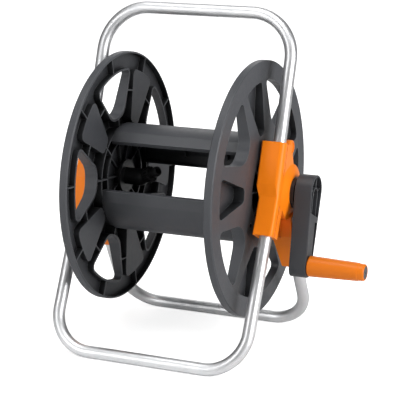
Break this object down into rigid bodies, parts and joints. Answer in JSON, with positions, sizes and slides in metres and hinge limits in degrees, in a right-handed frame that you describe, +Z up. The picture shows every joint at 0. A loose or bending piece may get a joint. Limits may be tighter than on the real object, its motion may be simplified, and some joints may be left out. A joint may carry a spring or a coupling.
{
  "type": "hose reel",
  "caption": "Portable free-standing garden hose reel: open drum with two ribbed flanges on a bent tube stand, side brackets, crank with turning grip and hose swivel.",
  "frame": {"origin": "on the ground, below the middle of the whole reel's bounding box", "axes": "+X along the drum axis from the water inlet to the crank, +Y to the back, +Z up"},
  "size_m": [0.477, 0.37, 0.4914],
  "materials": {
    "zinc_tube": "bright zinc-plated tube, satin",
    "orange_plastic": "fine-grained moulded plastic",
    "grey_plastic": "dark grey fine-grained moulded plastic",
    "black_nylon": "black moulded nylon",
    "seal_rubber": "soft black rubber",
    "screw_steel": "zinc-plated steel"
  },
  "bodies": {
    "frame": {"handle_tube": "zinc_tube", "front_foot_tube": "zinc_tube", "rear_foot_tube": "zinc_tube", "right_bracket": "orange_plastic", "left_bracket": "orange_plastic", "tube_screws": "screw_steel", "right_bearing": "black_nylon", "inlet_spindle": "black_nylon", "inlet_seal": "seal_rubber"},
    "drum": {"swivel_seal": "seal_rubber", "right_flange": "grey_plastic", "left_flange": "grey_plastic", "upper_drum_shell": "grey_plastic", "lower_drum_shell": "grey_plastic", "drum_screws": "screw_steel", "crank_shaft": "black_nylon", "crank_arm": "grey_plastic", "crank_bolt": "screw_steel", "crank_washer": "screw_steel", "grip_pin": "black_nylon", "outlet_elbow": "black_nylon", "outlet_nut": "black_nylon", "outlet_nipple": "black_nylon"},
    "grip": {"crank_grip": "orange_plastic", "grip_cap": "grey_plastic"}
  },
  "joints": [
    {"name": "drum_spin", "type": "hinge", "parent": "frame", "child": "drum", "pos_m": [-0.04395, 0, 0.2354], "axis": [1, 0, 0], "continuous": true},
    {"name": "grip_spin", "type": "hinge", "parent": "drum", "child": "grip", "pos_m": [0.19605, -0.02712, 0.13759], "axis": [1, 0, 0], "continuous": true}
  ]
}
